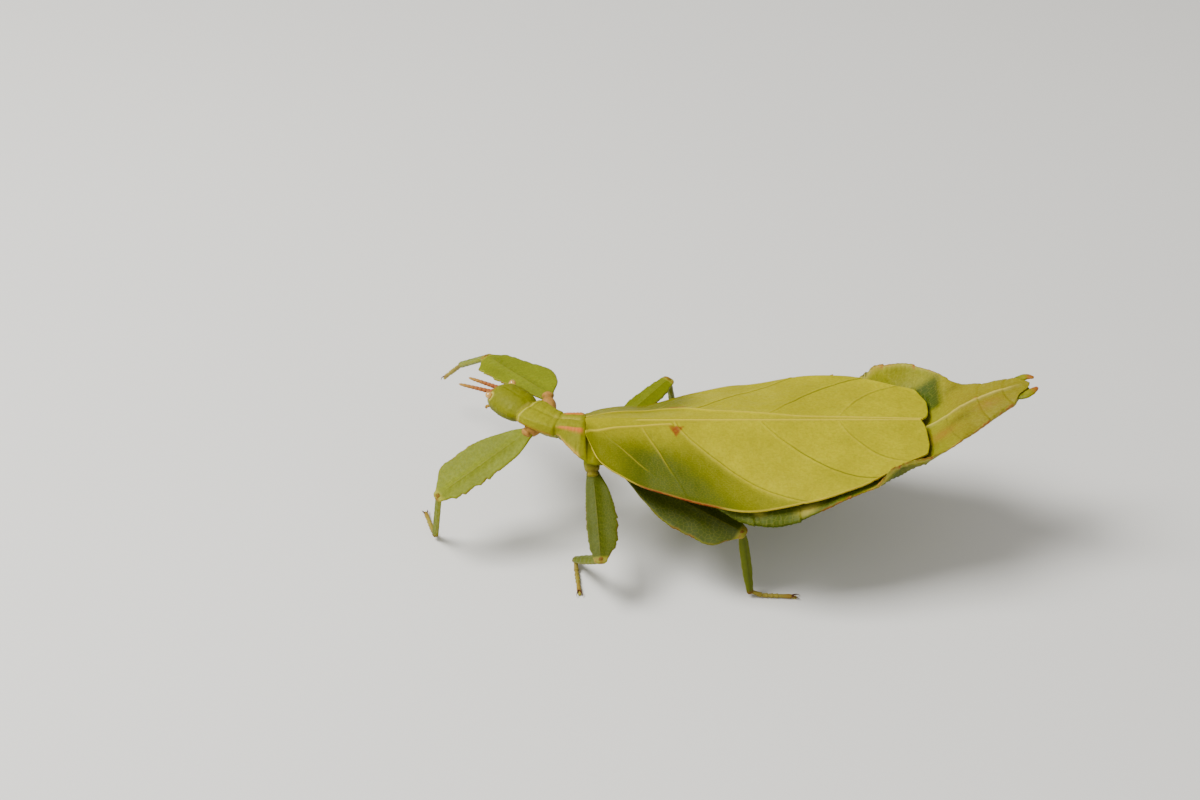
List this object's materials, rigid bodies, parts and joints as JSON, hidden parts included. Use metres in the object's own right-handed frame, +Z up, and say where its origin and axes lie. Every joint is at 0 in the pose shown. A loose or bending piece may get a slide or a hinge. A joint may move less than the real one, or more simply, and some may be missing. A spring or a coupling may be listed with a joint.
{
  "type": "leaf insect model",
  "caption": "Life-size still model of an adult female leaf insect standing on its legs, with leaf-like forewings, broad flat abdomen and lobed thighs.",
  "frame": {"origin": "on the floor, under the middle of the model's bounding box", "axes": "+Z up; the body lies along X with the head toward -X and the tail toward +X; -Y is the insect's left side, the side the picture shows"},
  "size_m": [0.0898, 0.0502, 0.0273],
  "materials": {
    "head_cuticle": "fine-grained matt cuticle, yellow-green, with pale eyes' rims",
    "eye_lens": "glossy, pale yellow compound eye",
    "antenna_cuticle": "short orange-brown beads, matt",
    "thorax_cuticle": "granular matt cuticle, yellow-green with orange-pink margins",
    "abdomen_leaf": "thin leaf-like cuticle, yellow-green, red-brown at the corners",
    "cercus_cuticle": "small flattened brown-green tail pieces",
    "tegmen_leaf": "leaf-like forewing, satin, yellow-green with pale veins",
    "coxa_cuticle": "orange-pink leg roots, matt",
    "femur_leaf": "leafy thigh lobes, green with red-brown toothed rims",
    "shank_cuticle": "green shank with a brownish knee",
    "foot_cuticle": "jointed foot, green to pinkish brown, with dark claws"
  },
  "bodies": {
    "root": {"abdomen": "abdomen_leaf", "antenna_left": "antenna_cuticle", "antenna_right": "antenna_cuticle", "cercus_left": "cercus_cuticle", "cercus_right": "cercus_cuticle", "eye_left": "eye_lens", "eye_right": "eye_lens", "head": "head_cuticle", "leg_front_left_coxa": "coxa_cuticle", "leg_front_left_femur": "femur_leaf", "leg_front_left_tarsus": "foot_cuticle", "leg_front_left_tibia": "shank_cuticle", "leg_front_right_coxa": "coxa_cuticle", "leg_front_right_femur": "femur_leaf", "leg_front_right_tarsus": "foot_cuticle", "leg_front_right_tibia": "shank_cuticle", "leg_hind_left_coxa": "coxa_cuticle", "leg_hind_left_femur": "femur_leaf", "leg_hind_left_tarsus": "foot_cuticle", "leg_hind_left_tibia": "shank_cuticle", "leg_hind_right_coxa": "coxa_cuticle", "leg_hind_right_femur": "femur_leaf", "leg_hind_right_tarsus": "foot_cuticle", "leg_hind_right_tibia": "shank_cuticle", "leg_middle_left_coxa": "coxa_cuticle", "leg_middle_left_femur": "femur_leaf", "leg_middle_left_tarsus": "foot_cuticle", "leg_middle_left_tibia": "shank_cuticle", "leg_middle_right_coxa": "coxa_cuticle", "leg_middle_right_femur": "femur_leaf", "leg_middle_right_tarsus": "foot_cuticle", "leg_middle_right_tibia": "shank_cuticle", "mesothorax": "thorax_cuticle", "metathorax": "thorax_cuticle", "prothorax": "thorax_cuticle", "tegmen_left": "tegmen_leaf", "tegmen_right": "tegmen_leaf"}
  },
  "joints": []
}
